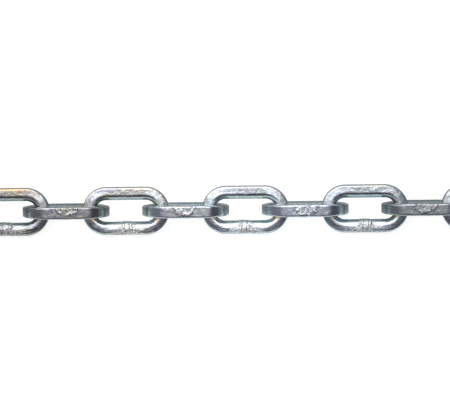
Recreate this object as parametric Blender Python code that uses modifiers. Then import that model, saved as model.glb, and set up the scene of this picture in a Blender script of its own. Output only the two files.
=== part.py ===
"""One metre of welded steel chain, with links of square bar, lying pulled straight on a level floor.

Metres, +Z up. The chain runs along X, and the origin is on the floor under its middle. Every link is the
same: a square bar bent into a long ring, with its edges taken off. Neighbours stand a quarter turn apart
about the chain's line. Unheld, the chain settles with one link leaning to each side by turns, each on a
lower outside edge of one leg.

A link swings about the end bow of the link before it, so each link hangs on an empty that stands on that
axis, and the empty hangs on the link before.
"""

import math

import bmesh
import bpy

BAR = 0.010  # side of the square bar
PITCH = 0.045  # from one link's middle to the next
LINK_WIDTH = 0.036  # over both legs
LINK_COUNT = 22  # a metre of chain, in whole links
OUTER_EDGE = 0.0008  # flat taken off the bar's two edges on the outside of the ring, along each side
INNER_EDGE = 0.0030  # the same on the inside of the ring, where the neighbours' bars cross
NESTING = 0.0010  # how much longer the ring is inside than the pitch
LEAN = math.radians(45)  # of a link from the floor
QUARTER = math.radians(90)

BEND_STEPS = 11  # facets round a half turn; an odd number leaves a flat one at the crown
MERGE = 0.00001

BEND_RADIUS = (LINK_WIDTH - BAR) / 2  # of the bar's middle
LINK_LENGTH = PITCH + 2 * BAR + NESTING
HALF_STRAIGHT = (LINK_LENGTH - LINK_WIDTH) / 2
SWING_AXIS = HALF_STRAIGHT + BEND_RADIUS + NESTING / 2  # from a link's middle, inside its end bow
AXIS_HEIGHT = (LINK_WIDTH / 2 + BAR / 2 - OUTER_EDGE) * math.sin(LEAN)  # of the chain's line
ZINC = (0.72, 0.75, 0.77, 1.0)


def clear_scene():
    for obj in list(bpy.data.objects):
        bpy.data.objects.remove(obj)


def bar_section():
    """The bar's eight corners as (out of the ring, along the ring's axis), once round."""
    half = BAR / 2
    outer = half - OUTER_EDGE
    inner = half - INNER_EDGE
    return [
        (half, outer),
        (outer, half),
        (-inner, half),
        (-half, inner),
        (-half, -inner),
        (-inner, -half),
        (outer, -half),
        (half, -outer),
    ]


def pushed_along_x(bm, ring, distance):
    """Extrudes a ring of edges along X, and gives the new ring."""
    grown = bmesh.ops.extrude_edge_only(bm, edges=ring)["geom"]
    for item in grown:
        if isinstance(item, bmesh.types.BMVert):
            item.co.x += distance
    return [item for item in grown if isinstance(item, bmesh.types.BMEdge)]


def half_link_mesh():
    """The +X half of a link, open at the middle of both legs."""
    bm = bmesh.new()
    verts = [bm.verts.new((0, BEND_RADIUS + out, axial)) for out, axial in bar_section()]
    ring = [bm.edges.new((verts[i - 1], verts[i])) for i in range(len(verts))]
    ring = pushed_along_x(bm, ring, HALF_STRAIGHT)
    turned = bmesh.ops.spin(
        bm,
        geom=ring,
        cent=(HALF_STRAIGHT, 0, 0),
        axis=(0, 0, -1),
        angle=math.pi,
        steps=BEND_STEPS,
    )
    ring = [item for item in turned["geom_last"] if isinstance(item, bmesh.types.BMEdge)]
    pushed_along_x(bm, ring, -HALF_STRAIGHT)
    bmesh.ops.recalc_face_normals(bm, faces=bm.faces)
    mesh = bpy.data.meshes.new("half_link")
    bm.to_mesh(mesh)
    bm.free()
    return mesh


def zinc_plated_steel():
    material = bpy.data.materials.new("zinc_plated_steel")
    material.use_nodes = True
    shader = material.node_tree.nodes["Principled BSDF"]
    shader.inputs["Base Color"].default_value = ZINC
    shader.inputs["Metallic"].default_value = 1.0
    shader.inputs["Roughness"].default_value = 0.25
    return material


def add_link(number, mesh, chain):
    link = bpy.data.objects.new(f"link_{number:02d}", mesh)
    chain.objects.link(link)
    other_half = link.modifiers.new("other_half", "MIRROR")
    other_half.use_axis = (True, False, False)
    other_half.merge_threshold = MERGE
    return link


def add_swing(number, before, chain):
    """An empty in the end bow of the link before, with its local Z on the axis that the next link swings about."""
    swing = bpy.data.objects.new(f"swing_{number:02d}", None)
    chain.objects.link(swing)
    swing.empty_display_size = BAR
    swing.parent = before
    swing.location.x = SWING_AXIS
    swing.rotation_euler.x = QUARTER if number % 2 == 0 else -QUARTER
    return swing


def build_chain():
    chain = bpy.data.collections.new("square_link_chain")
    bpy.context.scene.collection.children.link(chain)
    mesh = half_link_mesh()
    mesh.materials.append(zinc_plated_steel())
    link = add_link(1, mesh, chain)
    link.location = (-PITCH * (LINK_COUNT - 1) / 2, 0, AXIS_HEIGHT)
    link.rotation_euler.x = -LEAN
    for number in range(2, LINK_COUNT + 1):
        swing = add_swing(number, link, chain)
        link = add_link(number, mesh, chain)
        link.parent = swing
        link.location.x = PITCH - SWING_AXIS


clear_scene()
build_chain()
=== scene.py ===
# %% [markdown]
# # A metre of square-bar chain
#
# The subject is a length of welded steel chain, zinc plated, made of square bar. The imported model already
# holds every link as a plain solid, at its real size and in its real place. This lesson gives each link the
# surface that the real one has: rounded edges, bends that have spread under the bending tool, a butt weld
# with its trimming scar, and a plated skin. The links are all made from one pattern link, so the first half
# of the work is on that one. The second half copies it, turns it and makes each copy a little different.

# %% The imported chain
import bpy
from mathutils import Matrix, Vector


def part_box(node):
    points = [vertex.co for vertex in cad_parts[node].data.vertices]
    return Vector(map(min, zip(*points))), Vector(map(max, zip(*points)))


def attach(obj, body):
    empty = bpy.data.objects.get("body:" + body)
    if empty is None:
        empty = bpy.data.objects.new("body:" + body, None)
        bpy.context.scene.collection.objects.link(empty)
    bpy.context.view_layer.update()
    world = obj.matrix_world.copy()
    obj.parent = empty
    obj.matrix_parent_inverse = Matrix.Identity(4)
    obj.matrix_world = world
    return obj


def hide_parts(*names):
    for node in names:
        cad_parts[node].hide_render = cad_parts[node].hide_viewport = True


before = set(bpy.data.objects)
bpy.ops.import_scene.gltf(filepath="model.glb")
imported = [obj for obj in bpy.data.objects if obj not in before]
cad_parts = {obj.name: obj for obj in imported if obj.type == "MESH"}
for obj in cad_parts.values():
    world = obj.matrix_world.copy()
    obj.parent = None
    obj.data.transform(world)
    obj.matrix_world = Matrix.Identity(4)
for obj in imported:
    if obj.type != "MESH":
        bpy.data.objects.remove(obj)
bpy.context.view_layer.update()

link_names = sorted(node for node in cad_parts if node.startswith("link_"))

# %% [markdown]
# The lesson needs a few modules. bpy is Blender itself, bmesh reaches the points and edges of a mesh while it
# is in edit mode, and mathutils has vectors, matrices and a noise that is the same on every run.

# %% Modules for the lesson
import math
import random

import bmesh
import bpy
from mathutils import Matrix, Vector, noise

print(f"made with Blender {bpy.app.version_string}")

# %% [markdown]
# A link is described by a few sizes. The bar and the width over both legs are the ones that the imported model
# has. The length and the height of the chain's line are measured on a packed link, so that the detailed link
# fills the box of the plain one. Blender works in metres, so a millimetre gets a name of its own.

# %% Sizes of a link
MM = 0.001
BAR = 10 * MM
LINK_WIDTH = 36 * MM
LEAN = math.radians(45)

first_low, first_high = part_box(link_names[0])
LINK_LENGTH = (first_high - first_low).x
LINE_HEIGHT = (first_low.z + first_high.z) / 2
HALF_BAR = BAR / 2
BEND_RADIUS = (LINK_WIDTH - BAR) / 2
HALF_STRAIGHT = (LINK_LENGTH - LINK_WIDTH) / 2
print(f"link {LINK_LENGTH / MM:.2f} mm long, its line {LINE_HEIGHT / MM:.2f} mm above the floor")

# %% [markdown]
# Two small helpers stand in for a person's hand. One makes an object the only thing that is selected, because
# an operator acts on whatever is. The other selects, in edit mode, just those vertices or edges that lie
# where we want them.

# %% Hands for the modelling
def take(obj):
    """Leaves edit mode, and makes this object the selected and the active one."""
    if bpy.context.mode != "OBJECT":
        bpy.ops.object.mode_set(mode="OBJECT")
    bpy.ops.object.select_all(action="DESELECT")
    obj.select_set(True)
    bpy.context.view_layer.objects.active = obj


def pick(wanted, kind="VERT"):
    """In edit mode, selects the vertices or edges for which wanted() is true, and gives their number."""
    bpy.ops.mesh.select_mode(type=kind)
    bpy.ops.mesh.select_all(action="DESELECT")
    data = bpy.context.edit_object.data
    cage = bmesh.from_edit_mesh(data)
    items = cage.edges if kind == "EDGE" else cage.verts
    found = [item for item in items if wanted(item)]
    for item in found:
        item.select_set(True)
    cage.select_flush_mode()
    bmesh.update_edit_mesh(data)
    return len(found)


print("one hand to take an object, one to pick its parts")

# %% [markdown]
# ## The camera, first
#
# The photograph looks along the floor's depth and down on the chain, so that every second link, which leans
# away, shows its open ring, and the links between, which lean the other way, show only their edge. The
# picture has almost no perspective, so the camera stands far off with a long lens. It is framed on about a
# third of a metre of chain, which runs out of the picture at both sides. The camera is turned a little about
# its own axis, because the chain rises slightly from left to right.

# %% Camera
PIXELS_ACROSS = 450
PIXEL = 0.753 * MM
CAMERA_ELEVATION = math.radians(50)
CAMERA_ROLL = math.radians(0.60)
CAMERA_DISTANCE = 3.0
AIM = Vector((7.1 * MM, 0, LINE_HEIGHT - 0.3 * MM))

camera_data = bpy.data.cameras.new("camera")
camera_data.sensor_width = 36
camera_data.lens = camera_data.sensor_width * CAMERA_DISTANCE / (PIXELS_ACROSS * PIXEL)
camera_data.clip_end = 100
camera = bpy.data.objects.new("camera", camera_data)
bpy.context.scene.collection.objects.link(camera)
bpy.context.scene.camera = camera
towards_camera = Vector((0, -math.cos(CAMERA_ELEVATION), math.sin(CAMERA_ELEVATION)))
looking = (-towards_camera).to_track_quat("-Z", "Y").to_matrix() @ Matrix.Rotation(-CAMERA_ROLL, 3, "Z")
camera.matrix_world = Matrix.Translation(AIM + towards_camera * CAMERA_DISTANCE) @ looking.to_4x4()
print(f"lens {camera_data.lens:.0f} mm")

# %% [markdown]
# ## The pattern link
#
# A real link starts as a straight square bar. It is bent round twice, and its ends are pressed together and
# welded in the middle of one leg. The bar could be a curve with a square bevel, but a curve gives no room for
# a bend that spreads. So we draw the bar's cut end as a small plane, round its corners, and drive it round
# the ring with Spin and Extrude, as the bar itself was. Half a ring is enough: a Mirror makes the other.
#
# The two corners on the inside of the ring are far rounder than the two outside. Two rounds of Subdivide then
# add points where the outline still has long edges, so that the faces can be made slightly uneven later.

# %% The bar's cut end
INNER_ROUND = 4.8 * MM
OUTER_ROUND = 1.1 * MM
INNER_ROUND_STEPS = 10
OUTER_ROUND_STEPS = 4
SHORT_EDGE = 0.9 * MM
TINY = 0.01 * MM

bpy.ops.object.select_all(action="DESELECT")
bpy.ops.mesh.primitive_plane_add(
    size=BAR, rotation=(0, math.radians(90), 0), location=(HALF_STRAIGHT, BEND_RADIUS, 0))
pattern = bpy.context.object
pattern.name = "pattern_link"
bpy.ops.object.transform_apply(location=True, rotation=True, scale=True)
bpy.ops.object.mode_set(mode="EDIT")
pick(lambda vert: vert.co.y < BEND_RADIUS)
bpy.ops.mesh.bevel(offset=INNER_ROUND, segments=INNER_ROUND_STEPS, affect="VERTICES")
pick(lambda vert: vert.co.y > BEND_RADIUS + HALF_BAR - TINY)
bpy.ops.mesh.bevel(offset=OUTER_ROUND, segments=OUTER_ROUND_STEPS, affect="VERTICES")
for cuts in (3, 1):
    if pick(lambda edge: edge.calc_length() > SHORT_EDGE, "EDGE"):
        bpy.ops.mesh.subdivide(number_cuts=cuts)
print(f"{len(bmesh.from_edit_mesh(pattern.data).verts)} points round the bar")

# %% [markdown]
# The cut end's face is deleted, because the bar is closed on itself in the end and needs no cap. Spin carries
# the outline round half a turn. Then one long Extrude at each end makes half of each leg, and a Subdivide
# cuts the legs into rings, fine enough for the weld and the scar that come later.

# %% Half of the ring
BEND_STEPS = 44
LEG_RING = 0.4 * MM
SAME_PLACE = 0.001 * MM
leg_cuts = round(HALF_STRAIGHT / LEG_RING) - 1

bpy.ops.mesh.select_all(action="SELECT")
bpy.ops.mesh.delete(type="ONLY_FACE")
bpy.ops.mesh.select_all(action="SELECT")
bpy.ops.mesh.spin(steps=BEND_STEPS, angle=math.pi, center=(HALF_STRAIGHT, 0, 0), axis=(0, 0, 1))
for leg in (1, -1):
    pick(lambda vert: abs(vert.co.x - HALF_STRAIGHT) < SAME_PLACE and vert.co.y * leg > 0)
    bpy.ops.mesh.extrude_region_move(TRANSFORM_OT_translate={"value": (-HALF_STRAIGHT, 0, 0)})
pick(lambda edge: edge.calc_length() > HALF_STRAIGHT / 2, "EDGE")
bpy.ops.mesh.subdivide(number_cuts=leg_cuts)
print(f"{len(bmesh.from_edit_mesh(pattern.data).faces)} faces in half a link")

# %% [markdown]
# A square bar doesn't stay square when it is bent. Its outer side is stretched and draws in, its inner side
# is squeezed and swells, so the bend's faces slope outwards and catch other light than the legs. By hand this
# is a scaling with Proportional Editing on: the picked points move most, and their neighbours follow less and
# less. The outer side is scaled eight times, each time over a shorter stretch about the crown, so that it
# draws in most there.

# %% Bends that have spread
OUTSIDE, INSIDE = 1, -1
FACE_DEPTH = 4.5 * MM
AT_CROWN = math.radians(0.5)


def beside_bar(co):
    """A point's distance outwards from the bar's middle line, and its angle round the bend from the crown."""
    if co.x <= HALF_STRAIGHT:
        return abs(co.y) - BEND_RADIUS, math.pi / 2
    across = Vector((co.x - HALF_STRAIGHT, co.y))
    return across.length - BEND_RADIUS, abs(math.atan2(across.y, across.x))


def spread(side, degrees, factor, reach, falloff):
    """Widens or narrows the bar's OUTSIDE or INSIDE face, up to so many degrees from the crown."""
    turn = math.radians(degrees)
    pick(lambda vert: beside_bar(vert.co)[0] * side > FACE_DEPTH and beside_bar(vert.co)[1] < turn)
    bpy.ops.transform.resize(value=(1, 1, factor), use_proportional_edit=True, proportional_size=reach,
                             proportional_edit_falloff=falloff, use_proportional_connected=True)


spread(OUTSIDE, 180, 0.945, 9.0 * MM, "SHARP")
for degrees in range(78, 29, -8):
    spread(OUTSIDE, degrees, 0.966, 9.5 * MM, "SHARP")
spread(INSIDE, 68, 1.02, 7.0 * MM, "SMOOTH")
spread(INSIDE, 180, 1.04, 8.0 * MM, "SMOOTH")
crown = [vert.co for vert in bmesh.from_edit_mesh(pattern.data).verts if beside_bar(vert.co)[1] < AT_CROWN]
for label, side in (("inner", INSIDE), ("outer", OUTSIDE)):
    width = 2 * max(co.z for co in crown if beside_bar(co)[0] * side > 0)
    print(f"the bend is {width / MM:.2f} mm wide towards its {label} side")

# %% [markdown]
# A Mirror modifier makes the other half. After it is applied, the doubled points in the middle of the legs
# are merged, and the faces are all turned to look outwards, because a mirrored or spun shape can come out
# inside out.

# %% The whole ring
def apply_modifiers(obj):
    take(obj)
    for modifier in list(obj.modifiers):
        bpy.ops.object.modifier_apply(modifier=modifier.name)


bpy.ops.object.mode_set(mode="OBJECT")
mirror = pattern.modifiers.new("other_half", "MIRROR")
mirror.use_axis = (True, False, False)
mirror.merge_threshold = TINY
apply_modifiers(pattern)
bpy.ops.object.mode_set(mode="EDIT")
bpy.ops.mesh.select_mode(type="VERT")
bpy.ops.mesh.select_all(action="SELECT")
bpy.ops.mesh.remove_doubles(threshold=SAME_PLACE)
bpy.ops.mesh.normals_make_consistent(inside=False)
bpy.ops.object.mode_set(mode="OBJECT")
bpy.ops.object.shade_smooth()
print(f"{len(pattern.data.polygons)} faces in the pattern link")

# %% [markdown]
# Scratches and tool marks on a chain follow the bar, also round the bends. A pattern can only do that if each
# point of the surface knows where it was on the straight bar, before it was bent. That is what the attribute
# made here holds: how far along the bar the point is, counted to the weld from the middle of the sound leg,
# the one without a weld, then how far it is to the outside of the ring, and how high. A UV map could do the
# same, but it would have to be unwrapped. The place is kept for each corner of each face, because at the weld
# the two ends of the bar meet and the count jumps.

# %% Where each point was on the straight bar
BAR_HALF_LENGTH = 2 * HALF_STRAIGHT + math.pi * BEND_RADIUS


def on_the_bar(co, end):
    """(along, outwards, height) on the straight bar. end is 1 or -1, the half of the link in X."""
    if abs(co.x) <= HALF_STRAIGHT:
        along = abs(co.x) if co.y > 0 else BAR_HALF_LENGTH - abs(co.x)
        return Vector((end * along, abs(co.y) - BEND_RADIUS, co.z))
    out_of_ring = Vector((abs(co.x) - HALF_STRAIGHT, co.y))
    turned = math.pi / 2 - math.atan2(out_of_ring.y, out_of_ring.x)
    return Vector((end * (HALF_STRAIGHT + turned * BEND_RADIUS), out_of_ring.length - BEND_RADIUS, co.z))


data = pattern.data
bar_place = data.attributes.new("bar_place", "FLOAT_VECTOR", "CORNER")
for face in data.polygons:
    end = 1 if face.center.x > 0 else -1
    for corner in face.loop_indices:
        bar_place.data[corner].vector = on_the_bar(data.vertices[data.loops[corner].vertex_index].co, end)
print(f"the bar is {2 * BAR_HALF_LENGTH / MM:.1f} mm long before it is bent")

# %% [markdown]
# ## Twenty-two links
#
# Each link is a copy of the pattern, put at the middle of its packed link. The copies could share one mesh,
# but each is going to have a weld and a scar of its own, so each gets its own mesh. Every second one leans to
# the back, and the others lean to the front. The weld is in the front leg of all of them, as a chain machine
# makes it. The place goes into the mesh at once, so every link ends at the origin, unturned and unscaled.

# %% Copies in their places
def leans_back(number):
    return number % 2 == 0


def middle_of(name):
    low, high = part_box(name)
    return (low.x + high.x) / 2


def lay_link(number, name):
    """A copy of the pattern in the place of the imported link."""
    link = pattern.copy()
    link.data = pattern.data.copy()
    link.name = f"plated_{name}"
    link.data.name = link.name
    bpy.context.scene.collection.objects.link(link)
    lean = Matrix.Rotation(LEAN if leans_back(number) else -LEAN, 4, "X")
    link.matrix_world = Matrix.Translation((middle_of(name), 0, LINE_HEIGHT)) @ lean
    take(link)
    bpy.ops.object.transform_apply(location=True, rotation=True, scale=True)
    return link


links = {}
for number, name in enumerate(link_names, 1):
    links[name] = lay_link(number, name)
print(f"{len(links)} links laid")

# %% [markdown]
# ## The weld
#
# Welds and scars could be sculpted, but that is a day's work for twenty-two links of which no two may be
# alike. So the next shapes are all made from numbers. Every point of the pattern gets one, worked out from
# its place. It can be kept as an attribute, which the material reads later, or it can be painted as a weight,
# and then a Displace modifier lifts the points by it along their normals. All links have the pattern's
# points in the same order, so the places are taken from the pattern once.

# %% Numbers for every point
pattern_points = [vert.co.copy() for vert in pattern.data.vertices]


def hump(distance, half_width, slope):
    """1 within half_width, falling smoothly to 0 over the slope."""
    t = min(1, max(0, (abs(distance) - half_width) / slope))
    return 1 - t * t * (3 - 2 * t)


def keep(obj, name, values):
    """Keeps a number for each point as an attribute."""
    obj.data.attributes.new(name, "FLOAT", "POINT").data.foreach_set("value", values)


def push(obj, name, height, weights, texture=None, mid_level=0.0):
    """Lifts each point by height times its weight. A texture lifts it where it is above mid_level, and lowers
    it where it is below."""
    group = obj.vertex_groups.new(name=name)
    for index, weight in enumerate(weights):
        if weight > 0.001:
            group.add([index], min(1, weight), "REPLACE")
    layer = obj.modifiers.new(name, "DISPLACE")
    layer.strength = height
    layer.mid_level = mid_level
    layer.vertex_group = name
    if texture:
        layer.texture = texture
        layer.texture_coords = "LOCAL"


print(f"{len(pattern_points)} points in the pattern")

# %% [markdown]
# The two ends of the bar are pressed together hot, so metal wells up round the joint. Most of it is trimmed
# off, which leaves a low, lumpy collar with a seam at each side, never quite the same twice. Its outer face
# is cut flush, and the edges that a link can lie on stay as they are. The seams don't run straight across:
# they wander as they go up the bar and into it, by a wave that is given in radians to the metre. Bump in the
# material could draw all this, but a collar shows in the outline of the link too, so it is real relief.

# %% Weld collars
COLLAR_HEIGHT = 0.45 * MM
LUMP_HEIGHT = 0.38 * MM
LUMP_SIZE = 1.1 * MM
SEAM_DEPTH = 0.22 * MM
WANDER = 0.7 * MM
WAVE_UP, WAVE_IN = 500, 300
FAR = 30 * MM


def lumpy(name, size):
    """A cloud texture with lumps of that size."""
    texture = bpy.data.textures.new(name, "CLOUDS")
    texture.noise_scale = size
    texture.noise_depth = 2
    return texture


def in_weld_leg(co):
    return co.y < 0 and abs(co.x) < HALF_STRAIGHT


def below_outer_face(co):
    """0 on the outer face of the leg, and 1 from the middle of the bar inwards."""
    return hump(max(0, abs(co.y) - BEND_RADIUS), 2.2 * MM, 2.2 * MM)


def off_outer_edges(co):
    """0 on the two outer edges of the bar, and 1 well away from them."""
    towards_edge = (abs(co.y) - BEND_RADIUS + abs(co.z)) * math.sqrt(0.5)
    return hump(towards_edge, 2.6 * MM, 4.0 * MM)


def weld_distances(middle, half, phase):
    """For each point, its distance along the leg from the weld's middle, and from the nearer of its seams."""
    from_middle, from_seam = [], []
    for co in pattern_points:
        along = co.x - middle - WANDER * math.sin(phase + WAVE_UP * co.z + WAVE_IN * co.y)
        near = in_weld_leg(co)
        from_middle.append(abs(along) if near else FAR)
        from_seam.append(min(abs(along - half), abs(along + half)) if near else FAR)
    return from_middle, from_seam


random.seed(7)
ragged = lumpy("ragged", LUMP_SIZE)
flush = [below_outer_face(co) for co in pattern_points]
standing = [off_outer_edges(co) * below for co, below in zip(pattern_points, flush)]
for link in links.values():
    middle = random.uniform(-0.9 * MM, 0.9 * MM)
    half = random.uniform(1.7 * MM, 2.4 * MM)
    phase = random.uniform(0, 6.3)
    from_middle, from_seam = weld_distances(middle, half, phase)
    keep(link, "from_weld", from_middle)
    keep(link, "from_seam", from_seam)
    push(link, "collar", COLLAR_HEIGHT,
         [hump(away, half + 0.8 * MM, 1.6 * MM) * stands for away, stands in zip(from_middle, standing)])
    push(link, "ragged", LUMP_HEIGHT,
         [hump(away, half + 1.0 * MM, 2.0 * MM) * stands for away, stands in zip(from_middle, standing)],
         ragged, mid_level=0.60)
    push(link, "seams", -SEAM_DEPTH,
         [hump(away, 0.15 * MM, 0.6 * MM) * (0.25 + 0.75 * stands) * below
          for away, stands, below in zip(from_seam, standing, flush)])
print(f"{len(links)} welds, each {COLLAR_HEIGHT / MM:.2f} mm proud")

# %% [markdown]
# On the outside the metal that welled up is cut off by a tool that comes over one outer edge. It leaves a
# round scar, half on the outer face and half on the side face: a shallow dent, with a broken rim on the outer
# face where the cut ran out. Each point is told how far it lies from the middle of its scar, where 1 is on
# the rim, with some noise added so that no rim is a true ellipse. The same number shapes the dent and the rim
# here, and later tells the material where the scrapes are.

# %% Scars over the weld
SIDE_REACH = 5.6 * MM
DENT_DEPTH = 0.12 * MM
DENT_FLAT, DENT_SLOPE = 0.3, 0.6
RIM_HEIGHT = 0.10 * MM
RIM_PLACE, RIM_HALF_WIDTH, RIM_SLOPE = 0.95, 0.04, 0.10
NO_SCAR = 3.0


def from_scar(co, shift, length, width, where):
    """Distance from the scar's middle, which is on the outer edge at +Z, as a share of the scar's size.

    shift and length are along the leg. width is down the outer face. where picks another part of the noise.
    """
    if not in_weld_leg(co):
        return NO_SCAR
    down_outer_face = HALF_BAR - co.z
    over_side_face = BEND_RADIUS + HALF_BAR + co.y
    even = math.hypot((co.x - shift) / length, down_outer_face / width, over_side_face / SIDE_REACH)
    coarse = 0.30 * noise.noise((co + where) * 270)
    fine = 0.20 * noise.noise((co + where) * 720)
    return min(NO_SCAR, even + coarse + fine)


def on_outer_face(co):
    """1 on the flat of the outer face, and 0 where it turns into the edges."""
    return hump(BEND_RADIUS + HALF_BAR + co.y, 0.3 * MM, 0.6 * MM) * hump(co.z, 3.6 * MM, 1.0 * MM)


def unbroken(co, where):
    """0 where the rim has a gap and 1 where it is whole."""
    return min(1, max(0, 0.55 + 2.0 * noise.noise((co + where) * 420)))


outer_face = [on_outer_face(co) for co in pattern_points]
for link in links.values():
    shift = random.uniform(-1.2 * MM, 1.2 * MM)
    length = random.uniform(8.0 * MM, 9.2 * MM)
    width = random.uniform(7.0 * MM, 8.4 * MM)
    where = Vector((random.uniform(0, 1), 0, 0))
    scar = [from_scar(co, shift, length, width, where) for co in pattern_points]
    keep(link, "from_scar", scar)
    push(link, "dent", -DENT_DEPTH, [hump(away, DENT_FLAT, DENT_SLOPE) for away in scar])
    push(link, "rim", RIM_HEIGHT,
         [hump(away - RIM_PLACE, RIM_HALF_WIDTH, RIM_SLOPE) * outer * unbroken(co, where)
          for away, outer, co in zip(scar, outer_face, pattern_points)])
print(f"{len(links)} scars, each {DENT_DEPTH / MM:.2f} mm deep")

# %% [markdown]
# ## What tells one link from the next
#
# Zinc that has been passivated keeps a tint that comes and goes along the chain, from straw to a cold blue. A
# random tint for each link would be simpler, but neighbours went through the bath side by side and look alike.
# So the tint is a long wave along the chain, with a little chance added. A second, shorter wave is painted
# shade: it darkens whole links, none at 15 mm along the chain and most some 155 mm to either side. The tint
# also varies over a link: those that lean back are warmest in their upper leg and lose it in their bends. The
# numbers are kept on the points, so that one material can serve all the links.

# %% Tint and painted shade of each link
WARM_WAVE, WARM_CREST = 440 * MM, -145 * MM
SHADE_WAVE, LEAST_SHADE_AT = 310 * MM, 15 * MM


def wave(x, crest, length):
    """Swings between 1 at the crest and 0, once in the length."""
    return 0.5 + 0.5 * math.cos(2 * math.pi * (x - crest) / length)


def share_of_tint(co, number):
    """How much of the link's warmth a point of the link has."""
    if not leans_back(number):
        return 0.5
    by_leg = 0.5 + 0.5 * hump(co.y - 18 * MM, 10 * MM, 20 * MM)
    by_bend = 0.45 + 0.55 * hump(co.x, HALF_STRAIGHT, 6 * MM)
    return by_leg * by_bend


for number, (name, link) in enumerate(links.items(), 1):
    x = middle_of(name)
    warmth = wave(x, WARM_CREST, WARM_WAVE) + random.uniform(-0.12, 0.12)
    keep(link, "warmth", [warmth * share_of_tint(co, number) for co in pattern_points])
    # Painted shade that darkens the whole link, by its place along the chain.
    keep(link, "painted_shade", [(1 - wave(x, LEAST_SHADE_AT, SHADE_WAVE)) ** 2] * len(pattern_points))
    print(f"{name}: warmth {warmth:.2f}")

# %% [markdown]
# Drawn bar that has been bent, welded and tumbled has no true flat left. A last Displace layer, with lumps a
# few millimetres long, makes all faces slightly uneven, so that a reflection runs over them in patches. Lumps
# of this size move the outline too, so they are in the mesh, and only what is finer is left to bump. The mid
# level is 1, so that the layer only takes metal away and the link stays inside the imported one. Then all the
# layers are applied, in the order in which they were added.

# %% Worn faces
TUMBLED_DEPTH = 0.20 * MM
TUMBLED_SIZE = 3.5 * MM

tumbled = lumpy("tumbled", TUMBLED_SIZE)
for link in links.values():
    push(link, "tumbled", TUMBLED_DEPTH, [1] * len(pattern_points), tumbled, mid_level=1.0)
    apply_modifiers(link)
print(f"{sum(len(link.data.polygons) for link in links.values())} faces in all")

# %% [markdown]
# ## The zinc
#
# The skin is bright metal, so it is mostly its relief and what it reflects. The colour mostly tints it, and in
# a few places it paints light and shade. Plain grey metal with some noise could pass for new zinc from afar,
# but this chain has been bent, welded, scraped and rubbed, and each of these left its mark in its own place.
# The material is one tree of nodes for all the links. It reads the numbers kept on the points, the place on
# the straight bar for what follows the bar, and Object coordinates for what doesn't. Nodes could be wired up
# by hand, but there are some two hundred, so a function adds each one and fills its inputs.

# %% A metal to start from
def add_node(tree, kind, inputs=None, **settings):
    """Adds a shader node, sets its options, and fills its inputs with values or with other nodes' outputs."""
    node = tree.nodes.new("ShaderNode" + kind)
    for name, value in settings.items():
        setattr(node, name, value)
    for name, value in (inputs or {}).items():
        if isinstance(value, bpy.types.NodeSocket):
            tree.links.new(value, node.inputs[name])
        else:
            node.inputs[name].default_value = value
    return node


zinc = bpy.data.materials.new("zinc_plated_steel_worn")
zinc.use_nodes = True
zinc_tree = zinc.node_tree
zinc_shader = zinc_tree.nodes["Principled BSDF"]
zinc_shader.inputs["Metallic"].default_value = 1.0
print(f"{len(zinc_tree.nodes)} nodes in a new material")

# %% [markdown]
# The next functions add the kinds of node that the zinc is made from, and are named for what they give. A
# noise texture is told its scale as lumps to the metre, so that 500 lumps are each 2 mm. Its fourth
# coordinate changes by about one from link to link, which gives every link other lumps even where the noise
# follows the straight bar, which is alike in all of them.

# %% What the zinc is made from
DRIFT_ALONG_CHAIN = 22.0


def arithmetic(tree, operation, *values):
    return add_node(tree, "Math", dict(enumerate(values)), operation=operation).outputs[0]


def attribute(name, kind="Fac"):
    return add_node(zinc_tree, "Attribute", attribute_name=name).outputs[kind]


def product(*factors):
    result = factors[0]
    for factor in factors[1:]:
        result = arithmetic(zinc_tree, "MULTIPLY", result, factor)
    return result


def total(*terms):
    result = terms[0]
    for term in terms[1:]:
        result = arithmetic(zinc_tree, "ADD", result, term)
    return result


def line(value, slope, start):
    """start where the value is 0, and slope more where it is 1."""
    return arithmetic(zinc_tree, "MULTIPLY_ADD", value, slope, start)


def between(value, low, high):
    """0 at low, 1 at high, and a smooth rise between them. low may be above high, and then it falls."""
    return add_node(zinc_tree, "MapRange", {"Value": value, "From Min": low, "From Max": high},
                    interpolation_type="SMOOTHSTEP").outputs["Result"]


def noise_at(source, scale, detail, roughness):
    """Noise from 0 to 1. scale gives how many lumps there are to the metre, along each axis of the source."""
    scaled = add_node(zinc_tree, "VectorMath", {0: source, 1: scale}, operation="MULTIPLY").outputs[0]
    return add_node(zinc_tree, "TexNoise", {
        "Vector": scaled, "W": other_link, "Scale": 1.0, "Detail": detail, "Roughness": roughness},
        noise_dimensions="4D").outputs["Fac"]


def lumps(to_the_metre, detail=2.0, roughness=0.5):
    """Noise that is alike in all directions."""
    return noise_at(place, (to_the_metre, to_the_metre, to_the_metre), detail, roughness)


def streaks(along_bar, across_bar, detail=2.0, roughness=0.5):
    """Noise that follows the bar round its bends, drawn out where it has fewer lumps one way."""
    return noise_at(on_bar, (along_bar, across_bar, across_bar), detail, roughness)


def axes(vector):
    return add_node(zinc_tree, "SeparateXYZ", {0: vector}).outputs


place = add_node(zinc_tree, "TexCoord").outputs["Object"]
on_bar = attribute("bar_place", "Vector")
other_link = product(axes(place)["X"], DRIFT_ALONG_CHAIN)
bar_axes = axes(on_bar)
along = arithmetic(zinc_tree, "ABSOLUTE", bar_axes["X"])
outwards = bar_axes["Y"]
to_side = arithmetic(zinc_tree, "ABSOLUTE", bar_axes["Z"])
bend_end = BAR_HALF_LENGTH - HALF_STRAIGHT
print(f"along the bar, a bend runs from {HALF_STRAIGHT / MM:.0f} to {bend_end / MM:.0f} mm")

# %% [markdown]
# Masks come first: numbers from 0 to 1 that say where on the bar something is. These say on which face it is,
# and how far along. The outer side looks out of the ring, the side faces are what shows of a link that lies
# flat, and the low bend is the half of a bend next to the welded leg. The warm tint shows on every face but
# the inner one. Nothing is painted by hand, because the same masks have to fit twenty-two links.

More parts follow.
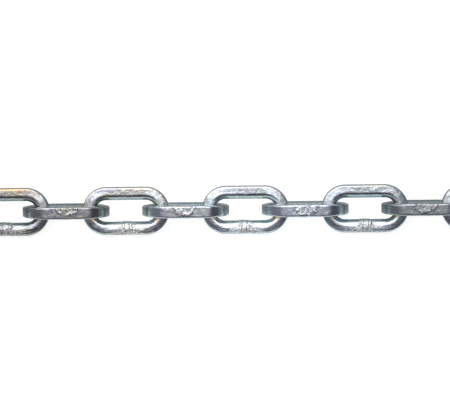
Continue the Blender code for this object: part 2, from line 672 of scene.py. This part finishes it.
# %% Masks for the faces of the bar
outer_side = between(outwards, 3.2 * MM, 4.4 * MM)
side_face = product(between(to_side, 3.6 * MM, 4.6 * MM), between(outwards, 4.2 * MM, 3.4 * MM))
past_middle = between(along, 4 * MM, 11 * MM)
in_bend = product(between(along, 13 * MM, 18 * MM), between(along, 58 * MM, 53 * MM))
low_bend = product(between(along, 35 * MM, 42 * MM), between(along, 62 * MM, 55 * MM),
                   between(outwards, -3 * MM, -1 * MM), side_face)
warm_face = product(attribute("warmth"), between(outwards, -4.5 * MM, -1.5 * MM))
print(f"{len(zinc_tree.nodes)} nodes so far")

# %% [markdown]
# The weld left metal that has run and spattered, hardly any of it on the outer side, and two seams. The scar
# has a rim, a narrow band of painted shade round the rim, and scrapes within. Noise is added to the distances
# or multiplied in, so that each of these has a ragged edge and gaps.

# %% Masks for the weld and the scar
wobble = arithmetic(zinc_tree, "SUBTRACT", lumps(520, 3.0, 0.6), 0.5)
weld_distance = total(attribute("from_weld"), product(wobble, 14 * MM))
weld_zone = between(weld_distance, 6.4 * MM, 3.4 * MM)
spatter = product(between(weld_distance, 11 * MM, 6 * MM), between(lumps(900, 2.0, 0.6), 0.53, 0.60),
                  between(outwards, 0, 2.5 * MM))
run_metal = product(weld_zone, between(lumps(850, 2.0, 0.6), 0.34, 0.60))
fused = product(arithmetic(zinc_tree, "MAXIMUM", spatter, run_metal), line(outer_side, -0.92, 1.0))
seam = product(between(total(attribute("from_seam"), product(wobble, 0.6 * MM)), 0.42 * MM, 0.18 * MM),
               between(outwards, 4.4 * MM, 3.0 * MM))

scar_distance = attribute("from_scar")
rim = product(between(scar_distance, 0.78, 0.92), between(scar_distance, 1.07, 0.97), outer_side,
              between(lumps(280), 0.36, 0.50))
# A narrow band of painted shade just outside the scar's rim.
rim_shade = product(between(scar_distance, 1.00, 1.08), between(scar_distance, 1.26, 1.12), outer_side,
                lumps(350))
scarred = product(between(scar_distance, 1.20, 0.85), line(outer_side, 0.7, 0.3))
print(f"{len(zinc_tree.nodes)} nodes so far")

# %% [markdown]
# The fine relief is bump, because it is finer than the mesh. Each term below is one kind of unevenness, and
# its last factor is the height in millimetres, which a line() changes from place to place. The first three
# are all over: soft lumps, grit, which is less in the bends, and drawing lines along the bar, which are
# deeper there. Next come the bending tool's fine cross marks, the run metal, the scraped scar and its rim.
# The last two are lumps and long streaks that the clamps left on the side faces, from the low bend on.

# %% The zinc's relief, in millimetres
relief = total(
    product(lumps(330, 3.0, 0.6), 0.15),
    product(lumps(1000, 2.0, 0.6), line(in_bend, -0.040, 0.075)),
    product(streaks(90, 1200), line(in_bend, 0.030, 0.035)),
    product(streaks(2600, 90, 1.0), past_middle, 0.012),
    product(lumps(700, 3.0, 0.6), arithmetic(zinc_tree, "MAXIMUM", weld_zone, spatter),
            line(outer_side, -0.47, 0.50)),
    product(lumps(700, 3.0, 0.65), scarred, 0.17),
    product(rim, lumps(230, 1.0), 0.17),
    product(lumps(430, 3.0, 0.6), between(along, 50 * MM, 60 * MM), between(outwards, -1 * MM, 2 * MM),
            side_face, 0.30),
    product(streaks(110, 520, 3.0, 0.6), between(along, 32 * MM, 44 * MM), between(outwards, -2 * MM, 1 * MM),
            side_face, 0.34),
)
bumps = add_node(zinc_tree, "Bump", {"Height": relief, "Distance": MM, "Strength": 1.0})
zinc_tree.links.new(bumps.outputs[0], zinc_shader.inputs["Normal"])
print(f"{len(zinc_tree.nodes)} nodes so far")

# %% [markdown]
# The plating's colour is built up in coats, as with paint, each mixed over the last where its mask says. One
# large colour ramp could do it with fewer nodes, but then no coat could be changed without the others. Cold
# and warm zinc are both patchy. The inside of the ring is greener, a painted reflection of teal surroundings.
# A thin, broken straw line runs along the outer edge of the warm side faces. The film on the zinc drifts to
# violet and to gold in long streaks.

# %% The zinc's colour: plating
def rgb(red, green, blue):
    return (red, green, blue, 1)


COLD, COLD_GREEN = rgb(0.55, 0.585, 0.69), rgb(0.53, 0.63, 0.67)
WARM, WARM_GREEN = rgb(0.58, 0.49, 0.35), rgb(0.49, 0.46, 0.37)
# The inner colour is a painted reflection of teal surroundings.
INNER_TEAL_REFLECTION = rgb(0.50, 0.63, 0.64)
STRAW = rgb(1.0, 0.66, 0.30)
FILM_VIOLET, FILM_GREY, FILM_GOLD = rgb(0.50, 0.45, 0.86), rgb(0.60, 0.62, 0.66), rgb(0.95, 0.70, 0.34)


def mixed_colour(tree, amount, first, second):
    """The first colour at amount 0, the second at 1."""
    # The Mix node has sockets for each kind of data: 6 and 7 are the colours, and output 2 is the result.
    return add_node(tree, "Mix", {0: amount, 6: first, 7: second}, data_type="RGBA").outputs[2]


def colour_ramp(tree, value, stops):
    """A ramp through the given (place, colour) pairs, which go from low to high."""
    ramp = add_node(tree, "ValToRGB", {0: value})
    elements = ramp.color_ramp.elements
    elements[0].position, elements[0].color = stops[0]
    elements[1].position, elements[1].color = stops[-1]
    for position, colour in stops[1:-1]:
        elements.new(position).color = colour
    return ramp.outputs["Color"]


def coat(below, amount, colour):
    """Lays a colour over the ones below it."""
    return mixed_colour(zinc_tree, amount, below, colour)


patchy = between(lumps(130, 3.0, 0.6), 0.35, 0.65)
skin = coat(coat(COLD, patchy, COLD_GREEN), warm_face, coat(WARM, patchy, WARM_GREEN))
# Painted reflection: a teal tint on the inside of the ring.
skin = coat(skin, between(outwards, -1.5 * MM, -4.5 * MM), INNER_TEAL_REFLECTION)
straw_line = product(warm_face, between(outwards, 3.0 * MM, 3.6 * MM), between(outwards, 4.7 * MM, 4.1 * MM),
                     between(streaks(50, 300, 1.0), 0.42, 0.52))
skin = coat(skin, straw_line, STRAW)
film = colour_ramp(zinc_tree, streaks(45, 260, 2.0, 0.6), (
    (0.32, FILM_VIOLET), (0.40, FILM_GREY), (0.60, FILM_GREY), (0.67, FILM_GOLD), (0.74, FILM_GREY)))
skin = coat(skin, line(warm_face, 0.15, 0.27), film)
print(f"{len(zinc_tree.nodes)} nodes so far")

# %% [markdown]
# Wear, heat and painted light lie over the plating. A painted amber glint lies in the inner half of each low
# bend, under the neighbouring link. Small stains lie everywhere. The low bends get painted shade, dark in
# streaks, most on the warm links. At the weld the run metal is pale. The scar is scorched in patches and
# scraped dark in others, with a pale rim between it and a band of painted shade round the rim. The seams are
# dark lines, and painted shade dims whole links.

# %% The zinc's colour: wear, heat and painted light
# The first and the third colour here are painted light: the amber of a glint and a dark shade.
GLINT_AMBER, STAINED, LOW_BEND_SHADE = rgb(0.98, 0.66, 0.24), rgb(0.28, 0.28, 0.31), rgb(0.14, 0.14, 0.18)
RUN_PALE, SCORCHED, SCRAPED = rgb(0.90, 0.90, 0.88), rgb(0.66, 0.56, 0.32), rgb(0.16, 0.16, 0.19)
# The first colour of this line is painted shade beside the scar's rim.
RIM_SHADE_DARK, RIM_PALE, SEAM_DARK = rgb(0.18, 0.18, 0.20), rgb(0.92, 0.92, 0.93), rgb(0.14, 0.14, 0.16)
BLACK = rgb(0, 0, 0)

# Painted glint: an amber spot of light on the inner half of each low bend, under the neighbouring link.
amber_glint = product(between(along, 38.5 * MM, 41.5 * MM), between(along, 47.5 * MM, 44.5 * MM),
                 between(outwards, 0.5 * MM, -2.0 * MM), between(lumps(240, 3.0, 0.6), 0.36, 0.62))
skin = coat(skin, product(amber_glint, 0.6), GLINT_AMBER)
skin = coat(skin, product(between(lumps(520, 4.0, 0.7), 0.54, 0.68), 0.55), STAINED)
# Painted shade: the low bends are darkened in streaks, most on the warm links.
low_bend_shade = product(low_bend, between(streaks(60, 600, 3.0, 0.6), 0.45, 0.55),
                  line(attribute("warmth"), 1.1, 0.10))
skin = coat(skin, low_bend_shade, LOW_BEND_SHADE)
skin = coat(skin, fused, RUN_PALE)

scraped = product(scarred, outer_side)
scorched = product(scraped, attribute("warmth"), between(lumps(210), 0.46, 0.60))
skin = coat(skin, product(scorched, 0.9), SCORCHED)
skin = coat(skin, product(scraped, between(lumps(620, 3.0, 0.6), 0.47, 0.58), 0.60), SCRAPED)
# Painted shade beside the rim.
skin = coat(skin, product(rim_shade, 0.25), RIM_SHADE_DARK)
skin = coat(skin, product(rim, 0.70), RIM_PALE)
skin = coat(skin, product(seam, 0.6), SEAM_DARK)
# Painted shade: whole links darkened by their place along the chain.
skin = coat(skin, product(attribute("painted_shade"), 0.33), BLACK)
zinc_tree.links.new(skin, zinc_shader.inputs["Base Color"])
print(f"{len(zinc_tree.nodes)} nodes so far")

# %% [markdown]
# Gloss is the last of it. The plating is fairly bright, duller in small patches. The low bends of the warm
# links are rubbed to a shine, and the run metal and the rim are rougher. The same masks as for the colour are
# used, so that a place that looks worn also shines like worn metal.

# %% The zinc's gloss
rubbed_bright = product(low_bend, attribute("warmth"))
dull = product(line(lumps(420, 3.0, 0.6), 0.20, 0.14), line(rubbed_bright, -0.9, 1.0))
roughness = total(dull, product(fused, 0.20), product(rim, 0.12))
zinc_tree.links.new(roughness, zinc_shader.inputs["Roughness"])
print(f"{len(zinc_tree.nodes)} nodes in the zinc")

# %% [markdown]
# Each link now gets the zinc, rides on its own body of the chain, and stands for its packed link, which is no
# longer shown. The pattern has done its work.

# %% Zinc on the links
for name, link in links.items():
    link.data.materials.clear()
    link.data.materials.append(zinc)
    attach(link, name)
    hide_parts(name)
bpy.data.objects.remove(pattern)
print(f"{len(links)} links plated")

# %% [markdown]
# ## The floor
#
# To the camera the floor is plain and nearly white. Bright metal shows what is around it, though, and over a
# white floor alone it would look flat. A product photographer lays strips of dark and pale card where only the
# metal sees them. This floor does the same: what the camera sees is one colour, and what the metal mirrors is
# a ramp of greys, in strips that run along the chain. Close to the chain's line the strips are painted light
# and shade: a painted shadow of the chain in front of it, and painted light that comes through the rings under
# it. The numbers are distances from its line, from the front to the back.

# %% Greys of the floor
STRIPS_REACH = 150 * MM
STRIPS = (
    (-150 * MM, rgb(0.05, 0.05, 0.055)),
    (-100 * MM, rgb(0.08, 0.08, 0.09)),
    (-62 * MM, rgb(0.80, 0.90, 0.89)),
    (-25 * MM, rgb(0.86, 1.0, 0.99)),
    # Painted light and shade near the line: the chain's shadow in front, then light through the rings under
    # it.
    (-20 * MM, rgb(0.30, 0.34, 0.35)),
    (-14 * MM, rgb(0.72, 0.84, 0.84)),
    (0, rgb(0.50, 0.60, 0.60)),
    (8 * MM, rgb(0.26, 0.34, 0.34)),
    (15 * MM, rgb(0.07, 0.07, 0.06)),
    (35 * MM, rgb(0.06, 0.06, 0.05)),
    (150 * MM, rgb(0.70, 0.75, 0.74)),
)
print(f"{len(STRIPS)} greys across the floor")

# %% [markdown]
# The floor is one plane, so large that no view shows its edge. It glows in the colours above, because a glow
# is the same at any distance from the lamps, and a Light Path node tells the camera's rays from all others.
# Under the glow it is a dull grey, which takes the soft shadow of the chain.

# %% Floor
FLOOR_SIZE = 60
FLOOR_SHOWN = rgb(0.86, 0.86, 0.86)
FLOOR_GREY = rgb(0.3, 0.3, 0.3)


def shown_to_camera(tree, reflected, shown):
    """One colour for the camera's rays, and another for all that is reflected."""
    return mixed_colour(tree, add_node(tree, "LightPath").outputs["Is Camera Ray"], reflected, shown)


bpy.ops.object.select_all(action="DESELECT")
bpy.ops.mesh.primitive_plane_add(size=FLOOR_SIZE)
floor = bpy.context.object
floor.name = "floor"

pale = bpy.data.materials.new("pale_floor")
pale.use_nodes = True
pale_tree = pale.node_tree
pale_shader = pale_tree.nodes["Principled BSDF"]
pale_shader.inputs["Base Color"].default_value = FLOOR_GREY
pale_shader.inputs["Roughness"].default_value = 1.0
pale_shader.inputs["Specular IOR Level"].default_value = 0.0
pale_shader.inputs["Emission Strength"].default_value = 1.0
floor_place = add_node(pale_tree, "SeparateXYZ", {0: add_node(pale_tree, "TexCoord").outputs["Object"]})
across = add_node(pale_tree, "MapRange", {
    "Value": floor_place.outputs["Y"], "From Min": -STRIPS_REACH, "From Max": STRIPS_REACH})
cards_and_painted_shade = colour_ramp(pale_tree, across.outputs[0],
                   [(0.5 + y / (2 * STRIPS_REACH), colour) for y, colour in STRIPS])
pale_tree.links.new(shown_to_camera(pale_tree, cards_and_painted_shade, FLOOR_SHOWN), pale_shader.inputs["Emission Color"])
floor.data.materials.append(pale)
print(f"a floor {FLOOR_SIZE} m wide, {len(pale_tree.nodes)} nodes in its material")

# %% [markdown]
# ## The light
#
# Two soft boxes hang over the chain, and the camera doesn't see them: a large one nearly overhead, off to the
# left, and a narrow one just above the camera's line of sight. They are long, so that their reflections are
# even along the chain. Point lamps would leave hard sparks on bright metal. Where they hang is given as an
# angle: 0 is the front horizon and 90 straight up. A box's energy is its brightness times pi times its area.

# %% Soft boxes
LIGHT_DISTANCE = 1.8
LIGHT_BRIGHTNESS = 2.0


def softbox(name, degrees, x, width, depth):
    """A rectangular soft light that looks straight at the chain's line, from that angle, at x along it."""
    light = bpy.data.lights.new(name, "AREA")
    light.shape = "RECTANGLE"
    light.size = width
    light.size_y = depth
    light.energy = LIGHT_BRIGHTNESS * math.pi * width * depth
    lamp = bpy.data.objects.new(name, light)
    lamp.visible_camera = False
    bpy.context.scene.collection.objects.link(lamp)
    angle = math.radians(degrees)
    away = Vector((0, -LIGHT_DISTANCE * math.cos(angle), LIGHT_DISTANCE * math.sin(angle)))
    facing = away.to_track_quat("Z", "Y").to_matrix().to_4x4()
    lamp.matrix_world = Matrix.Translation(away + Vector((x, 0, 0))) @ facing
    print(f"{name} soft box, {width:.2f} by {depth:.2f} m")


softbox("overhead", 81, -0.70, 2.6, 1.55)
softbox("front", 55, -0.05, 1.2, 0.30)

# %% [markdown]
# The room is a sky of greys. A photographed studio could be wrapped round the scene, but it would be a
# picture file, and this lesson has none. By the angle over the chain, in degrees, the sky is dark low in
# front, pale from the camera's height over to the back, and dim again low at the back. Well off to the sides,
# on the camera's side of the chain, it takes other, darker greys, which run from left to right, so that the
# bends end in dark tones.

# %% Greys of the room
ROOM_BY_ANGLE = (
    (0, rgb(0.02, 0.02, 0.025)),
    (22, rgb(0.025, 0.025, 0.032)),
    (31, rgb(0.32, 0.32, 0.35)),
    (39, rgb(0.40, 0.40, 0.44)),
    (46, rgb(0.64, 0.64, 0.66)),
    (90, rgb(0.6, 0.6, 0.6)),
    (112, rgb(0.62, 0.64, 0.65)),
    (140, rgb(0.52, 0.55, 0.56)),
    (150, rgb(0.22, 0.30, 0.32)),
    (180, rgb(0.22, 0.31, 0.33)),
)
ROOM_FROM_LEFT_TO_RIGHT = (
    (-1.0, rgb(0.24, 0.27, 0.29)),
    (-0.8, rgb(0.20, 0.20, 0.23)),
    (-0.3, rgb(0.14, 0.14, 0.17)),
    (0.3, rgb(0.08, 0.08, 0.10)),
    (0.6, rgb(0.08, 0.08, 0.10)),
    (0.9, rgb(0.08, 0.09, 0.11)),
    (1.0, rgb(0.34, 0.40, 0.43)),
)
print(f"{len(ROOM_BY_ANGLE)} greys over the chain, {len(ROOM_FROM_LEFT_TO_RIGHT)} from left to right")

# %% [markdown]
# A direction into the sky has three parts, each from -1 to 1. The height and the depth give the angle over
# the chain, through the arctangent. The part along the chain is how far to the left or right it is. Where
# this is large and the direction is to the front, the second ramp takes over from the first. To the camera
# the sky is white, as the floor is.

# %% Room
ROOM_SHOWN = rgb(1.1, 1.1, 1.1)
SIDES_BEGIN, SIDES_FULL = 0.2, 0.55
BEHIND, BEFORE = 0.20, -0.02

world = bpy.data.worlds.new("studio")
bpy.context.scene.world = world
world.use_nodes = True
room = world.node_tree
room.nodes.clear()
direction = add_node(room, "SeparateXYZ", {0: add_node(room, "TexCoord").outputs["Generated"]}).outputs
forward = arithmetic(room, "MULTIPLY", direction["Y"], -1.0)
half_turns = arithmetic(room, "DIVIDE", arithmetic(room, "ARCTAN2", direction["Z"], forward), math.pi)
over = colour_ramp(room, half_turns, [(degrees / 180, colour) for degrees, colour in ROOM_BY_ANGLE])
from_left = arithmetic(room, "MULTIPLY_ADD", direction["X"], 0.5, 0.5)
aside = colour_ramp(room, from_left, [(0.5 + x / 2, colour) for x, colour in ROOM_FROM_LEFT_TO_RIGHT])
how_far = add_node(room, "MapRange", {
    "Value": arithmetic(room, "ABSOLUTE", direction["X"]), "From Min": SIDES_BEGIN, "From Max": SIDES_FULL},
    interpolation_type="SMOOTHSTEP")
in_front = add_node(room, "MapRange", {"Value": direction["Y"], "From Min": BEHIND, "From Max": BEFORE})
darkened = arithmetic(room, "MULTIPLY", how_far.outputs[0], in_front.outputs[0])
around = shown_to_camera(room, mixed_colour(room, darkened, over, aside), ROOM_SHOWN)
add_node(room, "OutputWorld", {0: add_node(room, "Background", {0: around}).outputs[0]})
bpy.context.scene.view_settings.view_transform = "Standard"
print(f"{len(room.nodes)} nodes in the room")
